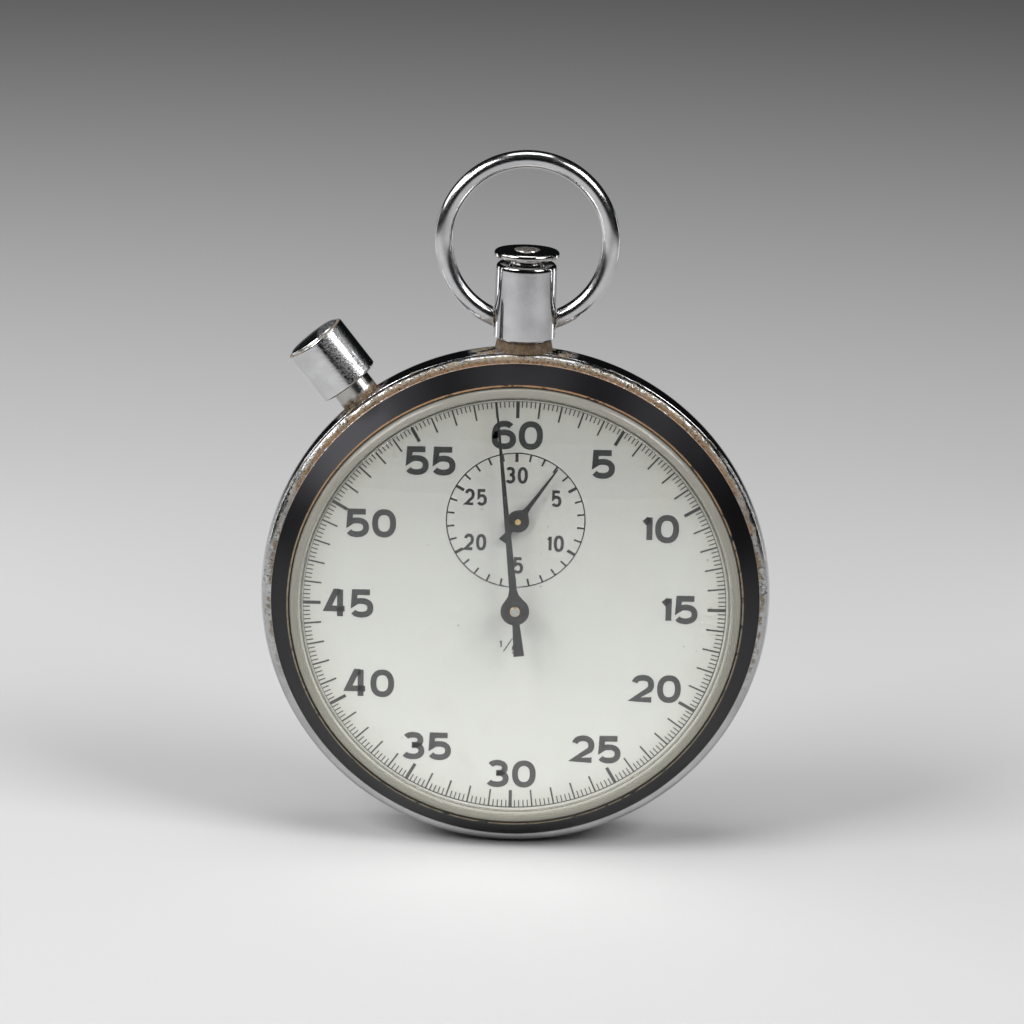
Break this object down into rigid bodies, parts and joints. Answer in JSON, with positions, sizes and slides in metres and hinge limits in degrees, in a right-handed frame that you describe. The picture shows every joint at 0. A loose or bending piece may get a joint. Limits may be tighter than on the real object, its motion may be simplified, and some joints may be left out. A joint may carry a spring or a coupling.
{
  "type": "mechanical stopwatch",
  "caption": "Pocket stopwatch with a sweep seconds hand, a small minute register, a winding and starting crown under a bow ring, and a reset pusher on the upper left.",
  "frame": {"origin": "middle of the flat outer face of the case back", "axes": "+Z towards twelve o'clock and the crown, +X towards three o'clock, -Y out of the dial, +Y out of the back"},
  "size_m": [0.053, 0.0144, 0.0733],
  "materials": {
    "case_chrome": "worn chrome plate over brass",
    "bezel_chrome": "dark worn chrome with bare brass edges",
    "back_chrome": "scratched chrome",
    "pendant_chrome": "polished chrome",
    "bow_chrome": "polished chrome, brass at the pivots",
    "crown_chrome": "polished chrome, worn centre",
    "pusher_chrome": "polished chrome, worn end",
    "worn_brass": "tarnished",
    "crystal": "clear domed acrylic",
    "dial_paint": "aged off-white enamel paint",
    "dark_hands": "blackened steel",
    "ruby": "polished synthetic ruby",
    "blued_steel": "blued",
    "spring_steel": "tempered",
    "polished_steel": "polished",
    "gilt_brass": "gilt",
    "plate_nickel": "nickel plated brass, grained"
  },
  "bodies": {
    "watch": {"case_middle": "case_chrome", "bezel": "bezel_chrome", "crystal": "crystal", "case_back": "back_chrome", "pendant_tube": "pendant_chrome", "pusher_tube": "worn_brass", "movement_ring": "plate_nickel", "case_screws": "polished_steel", "dial": "dial_paint", "mainplate": "plate_nickel", "barrel_bridge": "plate_nickel", "train_bridge": "plate_nickel", "bridge_screws": "polished_steel", "balance_cock": "plate_nickel", "pallet_cock": "plate_nickel", "cock_screws": "polished_steel", "jewels": "ruby", "hairspring": "blued_steel", "crown_wheel_core": "polished_steel", "click_screw": "polished_steel", "lever_studs": "polished_steel", "column_spring": "polished_steel", "brake_spring": "polished_steel", "crown_spring": "spring_steel"},
    "bow": {"bow": "bow_chrome"},
    "crown_seat": {"crown_washer": "polished_steel"},
    "crown": {"crown": "crown_chrome", "winding_stem": "polished_steel"},
    "winding_pinion": {"winding_pinion": "polished_steel"},
    "crown_wheel": {"crown_wheel": "polished_steel"},
    "barrel_arbor": {"barrel_arbor": "polished_steel", "ratchet_wheel": "polished_steel", "ratchet_screw": "polished_steel"},
    "click": {"click": "polished_steel"},
    "pusher": {"pusher_button": "pusher_chrome", "pusher_stem": "polished_steel"},
    "reset_hammer": {"reset_hammer": "polished_steel"},
    "start_lever": {"start_lever": "polished_steel"},
    "column_wheel": {"column_wheel": "polished_steel"},
    "brake_lever": {"brake_lever": "polished_steel"},
    "sweep": {"sweep_arbor": "polished_steel", "sweep_wheel": "gilt_brass", "seconds_heart": "polished_steel", "seconds_hand": "dark_hands"},
    "second_wheel": {"second_wheel": "gilt_brass"},
    "barrel": {"barrel": "gilt_brass", "barrel_cover": "gilt_brass", "mainspring": "spring_steel"},
    "escape_wheel": {"escape_wheel": "gilt_brass"},
    "minute_idler": {"minute_idler_wheel": "gilt_brass"},
    "minute": {"minute_wheel": "gilt_brass", "minute_heart": "polished_steel", "minute_hand": "dark_hands"},
    "pallet_fork": {"pallet_fork": "polished_steel"},
    "balance": {"balance_wheel": "gilt_brass", "balance_staff": "polished_steel"},
    "regulator": {"regulator": "polished_steel"}
  },
  "joints": [
    {"name": "bow_swing", "type": "hinge", "parent": "watch", "child": "bow", "pos_m": [0, -0.006, 0.02943], "axis": [1, 0, 0], "range_deg": [-100, 100], "stiffness_Nm_per_rad": 0.0005},
    {"name": "crown_press", "type": "slide", "parent": "watch", "child": "crown_seat", "axis": [0, 0, -1], "range_m": [0, 0.0006], "stiffness_N_per_m": 20, "springref_m": -0.0006, "deforming": ["crown_spring"]},
    {"name": "crown_turn", "type": "hinge", "parent": "crown_seat", "child": "crown", "pos_m": [0, -0.006, 0.036], "axis": [0, 0, 1], "continuous": true},
    {"name": "pinion_turn", "type": "hinge", "parent": "watch", "child": "winding_pinion", "pos_m": [0, -0.006, 0.0158], "axis": [0, 0, 1], "continuous": true},
    {"name": "crown_wheel_turn", "type": "hinge", "parent": "watch", "child": "crown_wheel", "pos_m": [0, -0.006, 0.0132], "axis": [0, 1, 0], "continuous": true},
    {"name": "ratchet_turn", "type": "hinge", "parent": "watch", "child": "barrel_arbor", "pos_m": [0.0082, -0.006, 0.0086], "axis": [0, 1, 0], "continuous": true},
    {"name": "click_lift", "type": "hinge", "parent": "watch", "child": "click", "pos_m": [0.0172, -0.006, 0.0112], "axis": [0, 1, 0], "range_deg": [0, 10]},
    {"name": "pusher_press", "type": "slide", "parent": "watch", "child": "pusher", "axis": [0.6293, 0, -0.7771], "range_m": [0, 0.0012], "stiffness_N_per_m": 25, "springref_m": -0.0012},
    {"name": "hammer_swing", "type": "hinge", "parent": "watch", "child": "reset_hammer", "pos_m": [-0.0086, -0.006, -0.0022], "axis": [0, 1, 0], "range_deg": [0, 9.5]},
    {"name": "start_lever_swing", "type": "hinge", "parent": "watch", "child": "start_lever", "pos_m": [-0.006, -0.006, 0.0146], "axis": [0, 1, 0], "range_deg": [0, 6.2]},
    {"name": "column_step", "type": "hinge", "parent": "watch", "child": "column_wheel", "pos_m": [-0.012, -0.006, 0.0096], "axis": [0, 1, 0], "range_deg": [-31, 0]},
    {"name": "brake_swing", "type": "hinge", "parent": "watch", "child": "brake_lever", "pos_m": [-0.0145, -0.006, 0.003], "axis": [0, 1, 0], "range_deg": [-2.2, 0]},
    {"name": "sweep_turn", "type": "hinge", "parent": "watch", "child": "sweep", "pos_m": [0, -0.006, 0], "axis": [0, 1, 0], "continuous": true},
    {"name": "second_wheel_turn", "type": "hinge", "parent": "watch", "child": "second_wheel", "pos_m": [0.00607, -0.006, 0.00079], "axis": [0, 1, 0], "continuous": true},
    {"name": "barrel_turn", "type": "hinge", "parent": "watch", "child": "barrel", "pos_m": [0.0082, -0.006, 0.0086], "axis": [0, 1, 0], "continuous": true},
    {"name": "escape_turn", "type": "hinge", "parent": "watch", "child": "escape_wheel", "pos_m": [-0.00148, -0.006, -0.00553], "axis": [0, 1, 0], "continuous": true},
    {"name": "minute_idler_turn", "type": "hinge", "parent": "watch", "child": "minute_idler", "pos_m": [-0.00168, -0.006, 0.00418], "axis": [0, 1, 0], "continuous": true},
    {"name": "minute_turn", "type": "hinge", "parent": "watch", "child": "minute", "pos_m": [0, -0.006, 0.00915], "axis": [0, 1, 0], "continuous": true},
    {"name": "fork_swing", "type": "hinge", "parent": "watch", "child": "pallet_fork", "pos_m": [-0.00451, -0.006, -0.00765], "axis": [0, 1, 0], "range_deg": [-5, 5]},
    {"name": "balance_swing", "type": "hinge", "parent": "watch", "child": "balance", "pos_m": [-0.00779, -0.006, -0.00994], "axis": [0, 1, 0], "range_deg": [-220, 220]},
    {"name": "regulator_swing", "type": "hinge", "parent": "watch", "child": "regulator", "pos_m": [-0.00779, -0.006, -0.00994], "axis": [0, 1, 0], "range_deg": [-15, 15]}
  ],
  "couplings": [
    {"joint": "pinion_turn", "follows": "crown_turn", "ratio": 1},
    {"joint": "crown_wheel_turn", "follows": "crown_turn", "ratio": -0.45},
    {"joint": "ratchet_turn", "follows": "crown_turn", "ratio": 0.23226},
    {"joint": "hammer_swing", "follows": "pusher_press", "rad_per_m": 130.9},
    {"joint": "start_lever_swing", "follows": "crown_press", "rad_per_m": 171.62},
    {"joint": "column_step", "follows": "crown_press", "rad_per_m": -872.66},
    {"joint": "brake_swing", "follows": "crown_press", "rad_per_m": -58.178},
    {"joint": "second_wheel_turn", "follows": "sweep_turn", "ratio": -0.125},
    {"joint": "barrel_turn", "follows": "sweep_turn", "ratio": 0.015625},
    {"joint": "escape_turn", "follows": "sweep_turn", "ratio": -10},
    {"joint": "minute_idler_turn", "follows": "sweep_turn", "ratio": -0.2},
    {"joint": "minute_turn", "follows": "sweep_turn", "ratio": 0.033333}
  ]
}
